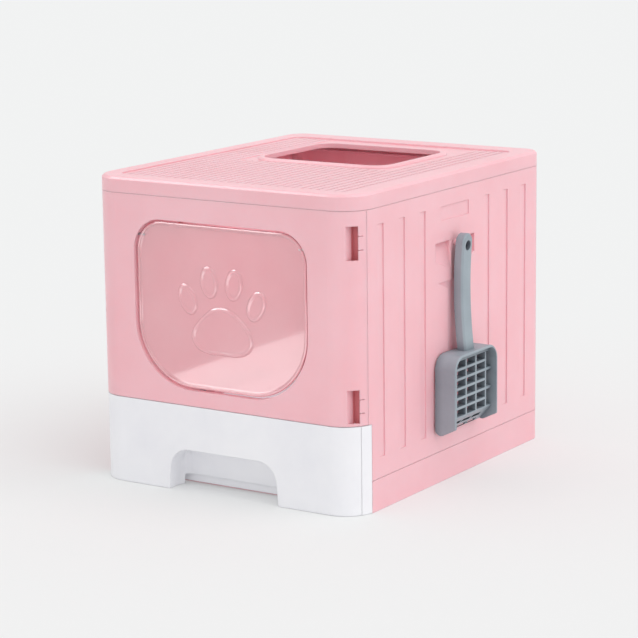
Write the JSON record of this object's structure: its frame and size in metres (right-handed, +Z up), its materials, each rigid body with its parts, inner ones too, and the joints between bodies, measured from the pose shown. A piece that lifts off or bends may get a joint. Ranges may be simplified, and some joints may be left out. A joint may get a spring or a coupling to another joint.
{
  "type": "foldable litter box",
  "caption": "Enclosed pet litter box with a swing door, a top hatch, a pull-out tray, walls that fold down into the base, and a slotted scoop hung on its side.",
  "frame": {"origin": "centre of the box's footprint, on the floor under the base", "axes": "+X to the right seen from the front, +Y to the rear, +Z up; the door faces -Y"},
  "size_m": [0.432, 0.482, 0.4],
  "materials": {
    "pink_plastic": "satin moulded",
    "white_plastic": "satin moulded",
    "clear_plastic": "clear",
    "grey_plastic": "satin moulded",
    "steel": "bright drawn"
  },
  "bodies": {
    "base": {"base_frame": "pink_plastic", "left_front_post": "white_plastic", "right_front_post": "white_plastic", "left_front_pin": "steel", "right_front_pin": "steel", "left_rear_pin": "steel", "right_rear_pin": "steel", "left_hinge_rod": "steel", "right_hinge_rod": "steel"},
    "drawer": {"drawer_front": "white_plastic", "drawer_tray": "white_plastic"},
    "left_side": {"left_wall": "pink_plastic"},
    "right_side": {"right_wall": "pink_plastic"},
    "front": {"front_wall": "pink_plastic"},
    "rear": {"rear_wall": "pink_plastic"},
    "top": {"lid": "pink_plastic"},
    "door": {"door_flap": "clear_plastic", "left_door_pin": "steel", "right_door_pin": "steel"},
    "scoop": {"scoop": "grey_plastic"}
  },
  "joints": [
    {"name": "drawer_slide", "type": "slide", "parent": "base", "child": "drawer", "axis": [0, -1, 0], "range_m": [0, 0.4]},
    {"name": "door_swing", "type": "hinge", "parent": "front", "child": "door", "pos_m": [0, -0.236, 0.3275], "axis": [1, 0, 0], "range_deg": [-75, 75]},
    {"name": "lid_lift", "type": "slide", "parent": "base", "child": "top", "axis": [0, 0, 1], "range_m": [0, 0.2]},
    {"name": "left_wall_fold", "type": "hinge", "parent": "base", "child": "left_side", "pos_m": [-0.188, 0, 0.072], "axis": [0, 1, 0], "range_deg": [0, 90]},
    {"name": "right_wall_fold", "type": "hinge", "parent": "base", "child": "right_side", "pos_m": [0.188, 0, 0.084], "axis": [0, -1, 0], "range_deg": [0, 90]},
    {"name": "front_wall_release", "type": "slide", "parent": "base", "child": "front", "axis": [0, -1, 0], "range_m": [0, 0.08]},
    {"name": "rear_wall_release", "type": "slide", "parent": "base", "child": "rear", "axis": [0, 1, 0], "range_m": [0, 0.08]},
    {"name": "scoop_unhook", "type": "slide", "parent": "right_side", "child": "scoop", "axis": [1, 0, 0], "range_m": [0, 0.05]}
  ]
}
